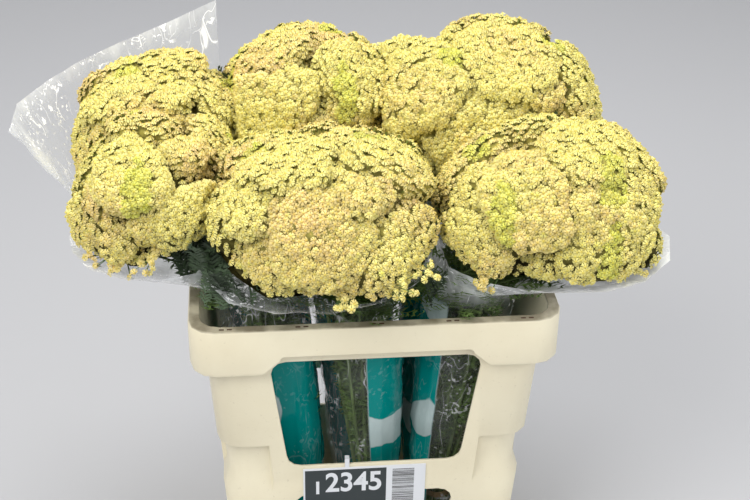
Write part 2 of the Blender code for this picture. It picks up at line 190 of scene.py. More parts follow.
def slabs_mesh(name, slabs):
    """Slabs as one mesh. Each is eight points: its outer face, anticlockwise, then the face behind it."""
    sides = ((0, 1, 2, 3), (5, 4, 7, 6), (0, 4, 5, 1), (1, 5, 6, 2), (2, 6, 7, 3), (3, 7, 4, 0))
    mesh = bpy.data.meshes.new(name)
    faces = [tuple(8 * slab + i for i in side) for slab in range(len(slabs)) for side in sides]
    mesh.from_pydata(np.concatenate(slabs).tolist(), [], faces)
    return mesh


def slot_slabs():
    """The slots: a unit box drawn to size at each place."""
    flat = ((-0.5, -0.5), (0.5, -0.5), (0.5, 0.5), (-0.5, 0.5))
    box = np.array([(x, y, z) for z in (1, 0) for x, y in flat]) * SLOT_SIZE
    return [
        box + (middle + half, side * LAND_MIDDLE, SLOT_FOOT)
        for side in (-1, 1)
        for middle in SLOT_PAIRS_AT
        for half in (-SLOT_FROM_PAIR, SLOT_FROM_PAIR)
    ]


slots = new_piece("drain_slots", slabs_mesh("drain_slots", slot_slabs()))
slots.data.materials.append(Finish("slot_shadow", 0.9, (0.085, 0.040, 0.022, 1)).material)
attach(slots, "root")

# The label: a coated card with a dark number panel and plain stripes, hung on the window's sill.
# The card is the CAD's own; its print lies on it as thin flat pieces.
WINDOW_FOOT = 0.241
DRAFT = math.radians(3.6)
CARD_FRONT = 0.12907 + 0.0017
PRINT_PROUD, FIGURES_PROUD = 0.00006, 0.00011
PANEL = (-0.079, 0.014, 0.179, 0.2345)
STRIPES_LEFT, STRIPES_RIGHT, STRIPES_FOOT, STRIPES_TOP = 0.021, 0.046, 0.1805, 0.234


def on_label(x, z, proud):
    """The point proud of the card's leaning front at x and z: y falls back by the draft as z rises."""
    return (x, -CARD_FRONT - proud + (WINDOW_FOOT - z) * math.tan(DRAFT), z)


def label_patch(name, boxes, colour):
    """Flat rectangles on the card's front, each (left, right, foot, top), a little proud of it."""
    slabs = [
        [
            on_label(x, z, depth)
            for depth in (PRINT_PROUD, 0.0)
            for x, z in ((left, foot), (right, foot), (right, top), (left, top))
        ]
        for left, right, foot, top in boxes
    ]
    patch = new_piece(name, slabs_mesh(name, slabs))
    patch.data.materials.append(Finish(name + "_ink", 0.5, colour).material)
    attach(patch, "root")


def label_number(name, text, size, left, foot):
    """Plain figures as a flat mesh, stood up on the card's leaning front."""
    curve = bpy.data.curves.new(name, "FONT")
    curve.body = text
    curve.size = size
    curve.offset = 0.0009
    curve.extrude = 0.00004
    holder = new_piece(name + "_text", curve)
    graph = bpy.context.evaluated_depsgraph_get()
    mesh = bpy.data.meshes.new_from_object(holder.evaluated_get(graph))
    bpy.data.objects.remove(holder)
    corner = Vector(on_label(left, foot, FIGURES_PROUD))
    stand = Matrix.Rotation(math.pi / 2 + DRAFT, 4, "X")
    mesh.transform(Matrix.Translation(corner) @ stand @ Matrix.Diagonal((0.82, 1, 1, 1)))
    mesh.materials.clear()
    mesh.materials.append(card_material)
    figures = new_piece(name, mesh)
    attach(figures, "root")


card_material = Finish("label_card", 0.35, (0.78, 0.80, 0.83, 1)).material
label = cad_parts["label"]
label.data.materials.clear()
label.data.materials.append(card_material)
bar_edges = np.random.default_rng(5).uniform(0.0004, 0.0013, 60).cumsum() + STRIPES_FOOT
bars = [
    (STRIPES_LEFT, STRIPES_RIGHT, foot, top)
    for foot, top in zip(bar_edges[::2], bar_edges[1::2])
    if top < STRIPES_TOP
]
label_patch("number_panel", [PANEL], (0.032, 0.042, 0.045, 1))
label_patch("plain_stripes", bars, (0.05, 0.05, 0.05, 1))
label_number("small_number", "1", 0.026, -0.070, 0.199)
label_number("large_number", "2345", 0.040, -0.056, 0.2015)

# The bunches' plan: where each stands in the bucket, the middle of its crown, the crown's half length,
# half depth and rise, its widest level, all in millimetres, and its shares of old and of young heads.
# A bunch stands upright as far as its tie, and leans out from the rim towards its crown.
MM = 0.001
BUNCHES = {
    "front_left": ((-86, -46), (-226, -34), (90, 96, 116), 510, 0.55, 0.05),
    "front_middle": ((0, -50), (-60, -86), (130, 112, 126), 503, 0.40, 0.12),
    "front_right": ((86, -46), (188, -82), (124, 102, 117), 510, 0.10, 0.10),
    "back_left": ((-86, 46), (-226, 104), (100, 106, 108), 528, 0.55, 0.05),
    "back_middle": ((0, 50), (-62, 124), (106, 108, 136), 528, 0.35, 0.12),
    "back_right": ((86, 46), (142, 112), (134, 114, 134), 528, 0.15, 0.10),
}
ORDER = list(BUNCHES)
UNDERSIDE = 0.498
LEAN_START = 0.446
LEAN_AT_RIM = 0.27
TIE_HEIGHT = 0.130
GOLDEN_ANGLE = math.pi * (3 - math.sqrt(5))


def crown_halves(bunch):
    """Half length, half depth and rise of a crown in metres."""
    return np.array(BUNCHES[bunch][2]) * MM


def bunch_axis(bunch, z):
    """The middle of a bunch at heights z: upright to the tie, then leaning to its crown, by straight runs."""
    foot, top = np.array(BUNCHES[bunch][0]) * MM, np.array(BUNCHES[bunch][1]) * MM
    rim = foot + (top - foot) * LEAN_AT_RIM
    knots = (0, TIE_HEIGHT, LEAN_START, UNDERSIDE)
    return np.stack([np.interp(z, knots, (foot[i], foot[i], rim[i], top[i])) for i in (0, 1)], -1)


def crown_width(bunch, along):
    """The crown's half width in plan along unit vectors, as on an ellipse."""
    return ((along / crown_halves(bunch)[:2]) ** 2).sum(-1) ** -0.5


def cell_reach(bunch, z, along, gap):
    """How far a bunch may reach at heights z along unit vectors before a neighbour's share of the room.
    The line between two bunches lies half way low down, and by their crowns' widths above."""
    z = np.broadcast_to(z, along.shape[:-1])
    here = bunch_axis(bunch, z)
    lift = np.clip((z - LEAN_START) / (UNDERSIDE - LEAN_START), 0, 1)
    reach = np.full(along.shape[:-1], 1.0)
    for other in ORDER:
        if other == bunch:
            continue
        apart = bunch_axis(other, z) - here
        length = np.linalg.norm(apart, axis=-1)
        towards = apart / length[..., None]
        facing = (along * towards).sum(-1)
        mine, theirs = crown_width(bunch, towards), crown_width(other, towards)
        share = 0.5 + (mine / (mine + theirs) - 0.5) * lift
        limit = (length * share - gap) / np.maximum(facing, 1e-6)
        reach = np.where(facing > 1e-6, np.minimum(reach, limit), reach)
    return reach


def spiral_directions(count, lowest):
    """Unit vectors spread evenly by the golden angle, from straight up down to a height of lowest."""
    k = np.arange(count) + 0.5
    z = 1 - (1 - lowest) * k / count
    flat = np.sqrt(np.clip(1 - z * z, 0, 1))
    return np.stack([flat * np.cos(k * GOLDEN_ANGLE), flat * np.sin(k * GOLDEN_ANGLE), z], 1)


def turned(ways, angle):
    """Directions turned about the upright."""
    return ways @ np.array(Matrix.Rotation(angle, 3, "Z")).T


def head_directions(bunch):
    """The direction of each of the nine main flower heads from the middle of its crown."""
    return turned(spiral_directions(9, -0.12), 0.7 + 1.9 * ORDER.index(bunch))


# The flower heads: each crown is nine broad, low-domed heads pressed side by side, with smaller ones in
# the gaps. A head is hundreds of small flowers on short green stalks, bunched in clusters, and a flower
# is five short, notched, pale yellow rays round a deeper yellow disc.
FLOWER_RADIUS, FLOWER_PITCH = 0.0043, 0.0044
CLUSTER_WIDTH, CLUSTER_DOME = 0.0155, 0.0030
HEAD_LIFT = 0.005
EGG_POWER, SLOPE_POWER = 2.7, 1.7
DOME_DROP, EDGE_DROP = 0.010, 0.013
CLEFT_WIDTH, CLEFT_DEPTH = 0.005, 0.024
HEAD_PROUD, OVER_PROUD, OVERHANG = 0.006, 0.06, 0.035
TUCK, TUCK_HEIGHT = 0.014, 0.042
FRINGE = 0.050
CORE_DEPTH = 0.0028
# Heads over the valleys between bunches: the middle of each and its radius, in millimetres.
OVER_VALLEYS = {
    "back_left": ((-152, 88, 598, 44),),
    "back_middle": ((-70, 58, 600, 46), (-126, 92, 606, 40), (10, 112, 640, 42)),
    "back_right": ((86, 40, 588, 52), (40, 66, 588, 40), (176, 36, 602, 50), (48, 112, 638, 46)),
    "front_left": ((-236, 30, 596, 44),),
}
# Where a crown's lower edge rises: from x, to x, by how much.
RAISED = {
    "front_left": ((-0.245, -0.150, 0.050),),
    "front_middle": ((-0.115, -0.190, 0.050), (0.020, 0.070, 0.034)),
    "front_right": ((0.110, 0.062, 0.024),),
}
# Loose sprays of flowers at the lower edges of the front crowns, in millimetres.
SPRAYS = {
    "front_left": ((-290, -98, 504), (-236, -122, 508), (-272, -110, 498)),
    "front_middle": ((24, -194, 514), (44, -172, 524), (-40, -203, 502)),
    "front_right": ((110, -170, 504), (262, -160, 506)),
}
YELLOW, PEACH, FRESH_GREEN = np.array(((0.86, 0.765, 0.265), (0.86, 0.645, 0.275), (0.68, 0.69, 0.13)))
DISC_SHADE = np.array((0.86, 0.80, 0.50))
STALK_GREEN = np.array((0.15, 0.19, 0.04))
BRANCH_GREEN = np.array((0.13, 0.22, 0.07))
CORE_GREEN = np.array((0.30, 0.262, 0.06))


def unit(v):
    """Vectors scaled to length one."""
    return v / np.maximum(np.linalg.norm(v, axis=-1, keepdims=True), 1e-12)


def crown_centre(bunch):
    """The middle of a crown's widest level."""
    return np.array([*BUNCHES[bunch][1], BUNCHES[bunch][3]]) * MM


def egg_reach(bunch, ways):
    """Reach of the crown's blunt egg along unit vectors: the sum of the shares' powers is one."""
    return (np.abs(ways / crown_halves(bunch)) ** EGG_POWER).sum(-1) ** (-1 / EGG_POWER)


def egg_slope(bunch, offsets):
    """The way straight out of the egg at offsets from its middle: the slope of that sum."""
    halves = crown_halves(bunch)
    return unit(np.sign(offsets) * np.abs(offsets / halves) ** SLOPE_POWER / halves)


def head_layout(bunch):
    """Each head of a bunch as a plate: its middle from the crown's, the way it faces, its radius and age.
    The nine main heads are the solid's own; smaller ones fill the gaps between them, a little deeper, and
    the last few lie at given places over the valleys between the bunches."""
    number = ORDER.index(bunch)
    random = np.random.default_rng(700 + number)
    main = head_directions(bunch)
    lifts = np.random.default_rng(40 + number).uniform(-HEAD_LIFT, HEAD_LIFT, 9)
    extra = turned(spiral_directions(26, -0.35), 2.2 + number)
    extra = extra[np.arccos(np.clip(extra @ main.T, -1, 1)).min(1) > 0.34]
    ways = np.concatenate([main, extra])
    lift = np.concatenate([lifts - 0.001, random.uniform(-0.010, -0.003, len(extra))])
    wide = crown_halves(bunch)[:2].mean()
    radii = np.concatenate([random.uniform(0.50, 0.60, 9), random.uniform(0.30, 0.40, len(extra))]) * wide
    middles = ways * (egg_reach(bunch, ways) + lift)[:, None]
    upward = egg_slope(bunch, middles) + np.array((0, 0, 0.16))
    facing = unit(upward + random.normal(0, 0.10, ways.shape))
    over = np.array(OVER_VALLEYS.get(bunch, ())).reshape(-1, 4) * MM
    middles = np.concatenate([middles, over[:, :3] - crown_centre(bunch)])
    forward = np.array((0, -0.3, 1)) + random.normal(0, 0.12, (len(over), 3))
    facing = np.concatenate([facing, unit(forward)])
    radii = np.concatenate([radii, over[:, 3]])
    return middles, facing, radii, random.uniform(0, 1, len(radii))


def lower_edge(bunch, x):
    """Height of a crown's lower edge at x: the underside, raised by straight ramps near its neighbours."""
    rise = np.zeros(np.shape(x))
    for start, end, height in RAISED.get(bunch, ()):
        rise = np.maximum(rise, height * np.clip((x - start) / (end - start), 0, 1))
    return UNDERSIDE + rise


def crown_surface(bunch, ways):
    """The crown along unit vectors: its points, the head that owns each, its share of that head's radius,
    how near it is to a cleft, and whether a neighbour's share of the room cuts it short.
    A line along each vector, waved a little so that no edge is a true circle, meets each head's plate. The
    head is a low dome with a steep edge: it drops below the plate by the second and eighth powers of the
    share, and stands only so far proud of the egg. The furthest head owns the point. The crown tucks in
    towards its underside by the square of how near it is."""
    middles, facing, radii, _ = head_layout(bunch)
    number = ORDER.index(bunch)
    waved = ways + 0.035 * np.sin(8 * np.roll(ways, 1, -1) + number)
    waved = unit(waved + 0.022 * np.sin(21 * np.roll(ways, 2, -1) + 2 * number))
    onward = waved @ facing.T
    far = (middles * facing).sum(-1) / np.maximum(onward, 0.12)
    off = np.linalg.norm(waved[:, None] * far[..., None] - middles[None], axis=-1)
    share = np.minimum(off / radii, 1.35)
    tops = far - (DOME_DROP * share**2 + EDGE_DROP * share**8) / np.maximum(onward, 0.35)
    egg = egg_reach(bunch, ways)
    over_valley = np.arange(len(radii)) >= len(radii) - len(OVER_VALLEYS.get(bunch, ()))
    highest = egg[:, None] + np.where(over_valley, OVER_PROUD, HEAD_PROUD)
    tops = np.where((share < 1.3) & (onward > 0.2), np.minimum(tops, highest), 0)
    ranked = np.sort(tops, -1)
    best, next_best = ranked[..., -1], np.maximum(ranked[..., -2], egg - CLEFT_DEPTH)
    cleft = np.clip(1 - (best - next_best) / CLEFT_WIDTH, 0, 1)
    owner = tops.argmax(-1)
    reach = np.maximum(best, egg - CLEFT_DEPTH)
    flat = np.maximum(np.linalg.norm(ways[..., :2], axis=-1), 1e-9)
    room = cell_reach(bunch, 1.0, ways[..., :2] / flat[..., None], 0.0005)
    room = (room + OVERHANG * over_valley[owner]) / flat
    reach = np.minimum(reach, room * 1.5)
    rough = crown_centre(bunch) + ways * reach[..., None]
    height = rough[..., 2] - lower_edge(bunch, rough[..., 0])
    reach = reach - TUCK * np.clip(1 - height / TUCK_HEIGHT, 0, 1) ** 2
    points = crown_centre(bunch) + ways * np.minimum(reach, room)[..., None]
    own_share = np.take_along_axis(share, owner[..., None], -1)[..., 0]
    return points, owner, own_share, cleft, reach / room


def ring_points(count, radius, z, turn=0.0):
    """Points evenly round a level circle."""
    angles = (np.arange(count) + turn) * 2 * math.pi / count
    return [(radius * math.cos(angle), radius * math.sin(angle), z) for angle in angles]


def flower_template():
    """One flower about a unit across its rays: five notched rays that droop, a domed disc and a stalk.
    Returns points, triangles, and for each point 0 for ray, 1 for disc, 2 for green."""
    foot = ((-0.50, 0.28, 0.16), (0.50, 0.28, 0.16))
    tip = ((-0.50, 0.98, -0.40), (0, 0.90, -0.16), (0.50, 0.98, -0.40))
    points, faces = [], []
    for number in range(5):
        middle, base = number * 2 * math.pi / 5, len(points)
        points += [(r * math.cos(middle + a), r * math.sin(middle + a), z) for a, r, z in foot + tip]
        faces += [(base, base + 2, base + 3), (base, base + 3, base + 1), (base + 1, base + 3, base + 4)]
    base = len(points)
    points += [*ring_points(5, 0.36, 0.20, 0.5), (0, 0, 0.46)]
    faces += [(base + i, base + (i + 1) % 5, base + 5) for i in range(5)]
    base = len(points)
    points += [*ring_points(3, 0.34, 0.04), *ring_points(3, 0.08, -2.0)]
    for a, b in ((base, base + 1), (base + 1, base + 2), (base + 2, base)):
        faces += [(a, a + 3, b + 3), (a, b + 3, b)]
    return np.array(points), np.array(faces), np.repeat((0, 1, 2), (25, 6, 6))


def well_spaced(points, apart):
    """Which of the points to keep, taken in order, so that no two are nearer than apart."""
    places = points.tolist()
    tree = KDTree(len(places))
    for i, place in enumerate(places):
        tree.insert(place, i)
    tree.balance()
    keep = np.ones(len(places), bool)
    for i, place in enumerate(places):
        if keep[i]:
            for _, j, _ in tree.find_range(place, apart):
                if j > i:
                    keep[j] = False
    return keep


def nearest_two(points, others):
    """How far each point is from the nearest and from the next nearest of the others."""
    near = np.empty((len(points), 2))
    for first in range(0, len(points), 500):
        apart = np.linalg.norm(points[first : first + 500, None] - others[None], axis=2)
        near[first : first + 500] = np.partition(apart, 1, axis=1)[:, :2]
    return near


def flower_places(bunch, random):
    """Where the flowers of a bunch stand, the way each faces, its head, and how deep it lies in a cleft or on a
    cluster's border, which sets its painted shade.
    Evenly spaced places over the crown, domed again cluster by cluster, thinner in clefts and below."""
    ways = unit(spiral_directions(30000, -0.62) + random.normal(0, 0.004, (30000, 3)))
    points, owner, share, cleft, cut_short = crown_surface(bunch, ways)
    seen = (points[:, 2] > lower_edge(bunch, points[:, 0]) + 0.004) & (cut_short < 1.16)
    points, owner, share, cleft = (part[seen] for part in (points, owner, share, cleft))
    keep = well_spaced(points, FLOWER_PITCH)
    points, owner, share, cleft = (part[keep] for part in (points, owner, share, cleft))
    clusters = points[random.permutation(len(points))]
    clusters = clusters[well_spaced(clusters, CLUSTER_WIDTH)]
    near = nearest_two(points, clusters)
    border = np.clip(1 - (near[:, 1] - near[:, 0]) / 0.0045, 0, 1)
    slope = egg_slope(bunch, points - crown_centre(bunch))
    middles, facing, radii, _ = head_layout(bunch)
    off = (points - crown_centre(bunch) - middles[owner]) / radii[owner][:, None]
    outward = off * (0.30 + 0.55 * np.clip(share, 0, 1.2) ** 4)[:, None]
    stand = unit(facing[owner] + 0.3 * slope + outward + random.normal(0, 0.22, points.shape))
    dome = CLUSTER_DOME * (1 - np.clip(near[:, 0] / (CLUSTER_WIDTH * 0.62), 0, 1.3) ** 2)
    points = points + slope * (dome - 0.0022 * cleft + random.normal(0, 0.0006, len(points)))[:, None]
    low = np.clip(1 - (points[:, 2] - lower_edge(bunch, points[:, 0])) / FRINGE, 0, 1)
    missing = 0.30 * cleft**2 + 0.12 * border**2 + 0.42 * low**1.5
    keep = random.uniform(0, 1, len(points)) > missing
    return tuple(part[keep] for part in (points, stand, owner, np.maximum(cleft, border * 0.6)))


def crown_core(bunch, random):
    """The dark green mass of stalks and buds under the flowers, as one closed skin that follows them, with
    painted shade that darkens it in clefts and towards the crown's lower edge.
    Returns its points, faces and colours."""
    rows, turns = 64, 128
    tilt = np.linspace(0.02, math.pi - 0.02, rows)[:, None]
    turn = np.linspace(0, 2 * math.pi, turns, endpoint=False)[None]
    level = np.broadcast_to(np.cos(tilt), (rows, turns))
    ways = np.stack([np.sin(tilt) * np.cos(turn), np.sin(tilt) * np.sin(turn), level], -1).reshape(-1, 3)
    points, _, _, cleft, _ = crown_surface(bunch, ways)
    depth = CORE_DEPTH + 0.004 * cleft + random.uniform(-0.0014, 0.0014, len(points))
    points = points - ways * depth[:, None]
    edge = lower_edge(bunch, points[:, 0]) + 0.0025
    points[:, 2] = np.maximum(points[:, 2], edge)
    grid = np.arange(turns * rows).reshape(rows, turns)
    right = np.roll(grid, -1, 1)
    quads = np.stack([grid[:-1], grid[1:], right[1:], right[:-1]], -1).reshape(-1, 4)
    green = CORE_GREEN * random.uniform(0.35, 1.5, (len(points), 1))
    # Painted shade: darker in clefts, and much darker towards the crown's lower edge.
    green *= (1 - 0.6 * cleft)[:, None] * np.clip((points[:, 2] - edge) / 0.06, 0.16, 1)[:, None]
    return points, [*quads.tolist(), grid[0].tolist(), grid[-1][::-1].tolist()], green


def tube(path, radii, sides):
    """A round bar along points: rings level with the ground, joined, and closed at both ends."""
    ring = np.array(ring_points(sides, 1.0, 0.0))
    points = (path[:, None] + ring[None] * radii[:, None, None]).reshape(-1, 3)
    grid = np.arange(len(path) * sides).reshape(len(path), sides)
    right = np.roll(grid, -1, 1)
    quads = np.stack([grid[:-1], right[:-1], right[1:], grid[1:]], -1).reshape(-1, 4)
    return points, [*quads.tolist(), grid[0][::-1].tolist(), grid[-1].tolist()]


class Gathered:
    """Many small parts put together as one mesh, with a colour for each point."""

    def __init__(self):
        self.points, self.faces, self.colours, self.count = [], [], [], 0

    def put(self, points, faces, colours):
        """One more part; its faces count its own points from nought."""
        self.points.append(points)
        self.faces += [[self.count + i for i in face] for face in faces]
        self.colours.append(np.broadcast_to(colours, points.shape))
        self.count += len(points)

    def piece(self, name):
        """The parts as one object, whose points carry their colours in the attribute tint."""
        mesh = bpy.data.meshes.new(name)
        mesh.from_pydata(np.concatenate(self.points), [], self.faces)
        colours = np.concatenate([np.concatenate(self.colours), np.ones((self.count, 1))], 1)
        tint = mesh.attributes.new("tint", "FLOAT_COLOR", "POINT")
        tint.data.foreach_set("color", colours.astype(np.float32).ravel())
        return new_piece(name, mesh)


def spray_places(bunch, random):
    """Loose flowers at the crown's lower edge: for each spray, flowers round a place on a forked branch.
    Returns the flowers' places, the ways they face, and each twig's points and faces."""
    places, stands, twigs = [], [], []
    for spot in np.array(SPRAYS.get(bunch, ())).reshape(-1, 3) * MM:
        inward = unit(crown_centre(bunch) - spot)
        fork = spot + inward * 0.022 - np.array((0, 0, 0.004))
        for _ in range(11):
            tip = spot + random.normal(0, 1, 3) * np.array((0.009, 0.006, 0.007))
            tip[2] = max(tip[2], 0.488)
            stand = unit(-inward + np.array((0, 0, 0.5)) + random.normal(0, 0.3, 3))
            twigs.append(tube(np.array([fork, tip - stand * 0.003]), np.array((0.0009, 0.0006)), 3))
            places.append(tip)
            stands.append(stand)
        twigs.append(tube(np.array([fork + inward * 0.03, fork]), np.array((0.0018, 0.0012)), 4))
    return np.array(places).reshape(-1, 3), np.array(stands).reshape(-1, 3), twigs


def flower_colours(bunch, here, owner, cleft, kinds, random):
    """A colour for each point of each flower. Old heads and drifts turn peach, patches stay fresh green,
    discs are deeper, and the flowers in clefts and on cluster borders are painted darker as shade."""
    old, young = BUNCHES[bunch][4:]
    age = head_layout(bunch)[3][owner]
    count = len(here)
    drift = np.sin(here @ np.array((41.0, 29.0, 17.0))) + np.sin(here @ np.array((-23.0, 37.0, 31.0)) + 1)
    aged = (age < old) * 0.42 + 0.24 * drift + random.normal(0, 0.16, count)
    patch = np.sin(here @ np.array((31.0, -27.0, 12.0)) + 2) * np.sin(here @ np.array((22.0, 33.0, -19.0)))
    fresh = (patch > 0.86 - 0.22 * young) * 0.75 + random.normal(0, 0.12, count)
    aged, fresh = np.clip(aged, 0, 1)[:, None], np.clip(fresh, 0, 1)[:, None]
    ray = YELLOW * (1 - aged) + PEACH * aged
    ray = ray * (1 - fresh) + FRESH_GREEN * fresh
    # Painted shade: flowers darken in clefts and on cluster borders.
    ray = ray * random.uniform(0.84, 1.10, (count, 1)) * (1 - 0.24 * cleft[:, None])
    stalk = STALK_GREEN * random.uniform(0.7, 1.4, (count, 1))
    return np.stack([ray, ray * DISC_SHADE, stalk], 1)[:, kinds]


def heads_piece(bunch):
    """The crown as one mesh: the flowers of every head over their green core, and the loose sprays."""
    random = np.random.default_rng(800 + ORDER.index(bunch))
    here, stand, owner, cleft = flower_places(bunch, random)
    loose, loose_stand, twigs = spray_places(bunch, random)
    here, stand = np.concatenate([here, loose]), np.concatenate([stand, loose_stand])
    owner = np.concatenate([owner, np.zeros(len(loose), int)])
    cleft = np.concatenate([cleft, np.zeros(len(loose))])
    side = unit(np.cross(stand, random.normal(0, 1, stand.shape)))
    axes = np.stack([side, np.cross(stand, side), stand], 1)
    size = FLOWER_RADIUS * random.uniform(0.80, 1.12, len(here))
    template, triangles, kinds = flower_template()
    flowers = here[:, None] + size[:, None, None] * (template @ axes)
    faces = triangles + (np.arange(len(here)) * len(template))[:, None, None]
    colours = flower_colours(bunch, here, owner, cleft, kinds, random)
    crown = Gathered()
    crown.put(flowers.reshape(-1, 3), faces.reshape(-1, 3).tolist(), colours.reshape(-1, 3))
    crown.put(*crown_core(bunch, random))
    for points, some in twigs:
        crown.put(points, some, BRANCH_GREEN)
    return crown.piece(bunch + "_flowers")


def tinted_finish(name, roughness):
    """A finish that takes its colour from the attribute tint."""
    made = Finish(name, roughness)
    tint = made.add("ShaderNodeAttribute", attribute_name="tint")
    made.feed(made.shader["Base Color"], tint.outputs["Color"])
    return made


petals = tinted_finish("yarrow_petals", 0.75)
petals.shader["Specular IOR Level"].default_value = 0.2
for bunch in ORDER:
    flowers = heads_piece(bunch)
    flowers.data.materials.append(petals.material)
    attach(flowers, "root")
    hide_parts(bunch + "_heads")

# The stems and leaves: woody green stems cut level at the foot and tied, one to a head, branching under
# it, with grey-green feathery leaves all the way up. Each leaf is a rib with cut leaflets on both sides.
STEM_RADIUS = 0.0026
LOW_LEAVES, HIGH_LEAVES = 19, 8
LEAFLET_PAIRS = 12
BLADE_HALF, TOOTH = 0.0014, 0.0066
STEM_GREEN = np.array((0.15, 0.22, 0.065))
LEAF_GREEN = np.array((0.14, 0.23, 0.05))
RIB_GREEN = np.array((0.22, 0.30, 0.09))
# Painted shade: the leaves between and under the crowns are a darker copy of the leaf green.
LEAF_IN_PAINTED_SHADE = np.array((0.045, 0.075, 0.035))
# Where more leaves show between the crowns and under them, in millimetres. They are painted dark as the shade
# there.
LEAF_TIPS = {
    "back_middle": ((-14, 96, 552), (4, 104, 556), (-34, 92, 552), (-146, 140, 572)),
    "back_right": ((22, 92, 556), (36, 122, 580), (196, 20, 560)),
    "front_middle": (
        (52, -92, 500), (46, -60, 520), (60, -150, 470), (-170, -122, 466), (-170, -140, 474),
        (-156, -156, 474), (-166, -108, 490), (-140, -160, 480), (-176, -126, 498),
    ),
    "front_left": (
        (-164, -86, 478), (-174, -96, 474), (-186, -100, 480), (-168, -76, 500),
        (-202, -100, 480), (-184, -90, 505), (-300, -60, 500),
    ),
}


def stem_points(bunch, way, count=26):
    """A stem's path: from the foot through the tie, leaning and spreading to its head's underside."""
    flat = np.array(way[:2])
    along = unit(flat)
    room = cell_reach(bunch, UNDERSIDE, along[None], 0.027)[0]
    offset = flat * min(crown_width(bunch, along) - 0.042, room)
    z = np.linspace(0.005, UNDERSIDE + 0.004, count)
    share = np.interp(z, (0.0, TIE_HEIGHT, LEAN_START, UNDERSIDE), (0.26, 0.115, 0.5, 1.0))
    return np.concatenate([bunch_axis(bunch, z) + offset * share[:, None], z[:, None]], 1)


def leaf_surface(root, along, up, length, width, bow, random):
    """A feathery leaf: leaflets in pairs along an arching rib, each a narrow blade with a tooth on each side.
    The rib rises along up and bows out along along by a power of its length."""
    t = np.linspace(0.06, 1.0, LEAFLET_PAIRS)
    across = unit(np.cross(along, up))
    rib = root + np.outer(t * length, up) + np.outer(t**1.6 * length * bow, along)
    spread = width * np.sin(math.pi * (0.10 + 0.86 * t)) ** 0.8
    forward = unit(up * 0.8 + along * 0.3 + random.normal(0, 0.13, (LEAFLET_PAIRS, 3)))
    wide = forward * BLADE_HALF
    blocks = []
    for side in (-1, 1):
        tip = rib + across * (side * spread)[:, None] + forward * (spread * 0.75)[:, None]
        tip = tip + along * random.normal(0, 0.0025, (LEAFLET_PAIRS, 1))
        middle = rib * 0.5 + tip * 0.5
        upper_tooth = middle + forward * TOOTH + across * side * 0.0016
        lower_tooth = middle + across * side * TOOTH - up * 0.0004
        blade = [rib - wide, rib + wide, middle + wide, tip, middle - wide]
        blade += [middle - wide, middle + wide, upper_tooth, middle - wide, middle + wide, lower_tooth]
        blocks.append(np.stack(blade, 1))
    points = np.concatenate(blocks)
    parts, size = points.shape[:2]
    outlines = ((0, 1, 2, 3, 4), (5, 6, 7), (8, 9, 10))
    faces = [[size * part + i for i in outline] for part in range(parts) for outline in outlines]
    return points.reshape(-1, 3), faces, rib


def greens_piece(bunch):
    """The stems and leaves of one bunch as one mesh: leaves close to the stems inside the film, more
    that reach out under the crown, and clumps between the crowns painted dark as shade."""
    random = np.random.default_rng(300 + ORDER.index(bunch))
    greens = Gathered()

    def put(part, colour):
        points, faces = part
        greens.put(points, faces, colour * random.uniform(0.75, 1.25, (len(points), 1)))

    for way in head_directions(bunch):
        path = stem_points(bunch, way)
        put(tube(path, np.linspace(STEM_RADIUS, STEM_RADIUS * 0.7, len(path)), 8), STEM_GREEN)
        for k in range(LOW_LEAVES + HIGH_LEAVES):
            high = k >= LOW_LEAVES
            z = random.uniform(0.415, 0.470) if high else random.uniform(0.165, 0.385)
            root = np.array([np.interp(z, path[:, 2], path[:, i]) for i in range(3)])
            turn = random.uniform(0, 2 * math.pi)
            along = np.array((math.cos(turn), math.sin(turn), 0))
            length = random.uniform(0.045, 0.060) if high else random.uniform(0.065, 0.105)
            outward = (root[:2] - bunch_axis(bunch, z)) @ along[:2]
            if (outward < 0) if high else (outward > 0):
                along = -along
            up = unit(along * (0.9 if high else 0.12) + np.array((0, 0, 0.5 if high else 1.0)))
            shade = random.uniform(0.6, 1.3)
            bow = 0.5 if high else 0.26
            points, faces, rib = leaf_surface(root, along, up, length, 0.0145, bow, random)
            if high:
                points[:, 2] = np.minimum(points[:, 2], UNDERSIDE - 0.001)
                rib[:, 2] = np.minimum(rib[:, 2], UNDERSIDE - 0.001)
            put((points, faces), LEAF_GREEN * shade)
            spine = np.concatenate([root[None], rib[::3]])
            put(tube(spine, np.linspace(0.0010, 0.0004, len(spine)), 3), RIB_GREEN * shade)
    for place in LEAF_TIPS.get(bunch, ()):
        for _ in range(3):
            root = np.array(place) * MM + random.normal(0, 0.004, 3)
            turn = random.uniform(0, 2 * math.pi)
            along = np.array((math.cos(turn), math.sin(turn), 0))
            points, faces, _ = leaf_surface(root, along, np.array((0, 0, 1.0)), 0.042, 0.012, 0.4, random)
            # Painted shade: these clumps take the darker leaf colour.
            put((points, faces), LEAF_IN_PAINTED_SHADE * random.uniform(0.5, 1.6))
    return greens.piece(bunch + "_greens")


leaf_material = tinted_finish("yarrow_leaf", 0.6).material
for bunch in ORDER:
    greens = greens_piece(bunch)
    greens.data.materials.append(leaf_material)
    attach(greens, "root")
    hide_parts(bunch + "_stems")

# The sleeves: cones of thin clear film, sealed up one side and open at both ends, crumpled by handling.
# The back left one flares up past its crown. Their lower halves carry a plain teal print.
SLEEVE_SIDES, SLEEVE_ROWS = 128, 48
COARSE_SIDES = 16
BODY_RINGS = ((0.090, 0.030), (0.200, 0.042), (0.330, 0.050), (LEAN_START, 0.053))
LIP_RINGS = ((-0.020, 0.76, 0.84), (-0.008, 0.9, 0.92), (-0.0005, 1.0, 1.0))
# The flare: for each coarse side, how far its edge stands out and how far it rises, in millimetres.
FLARE = {
    3: (163, 156), 4: (154, 126), 5: (146, 110), 6: (142, 102), 7: (146, 96), 8: (162, 94), 9: (176, 92),
}
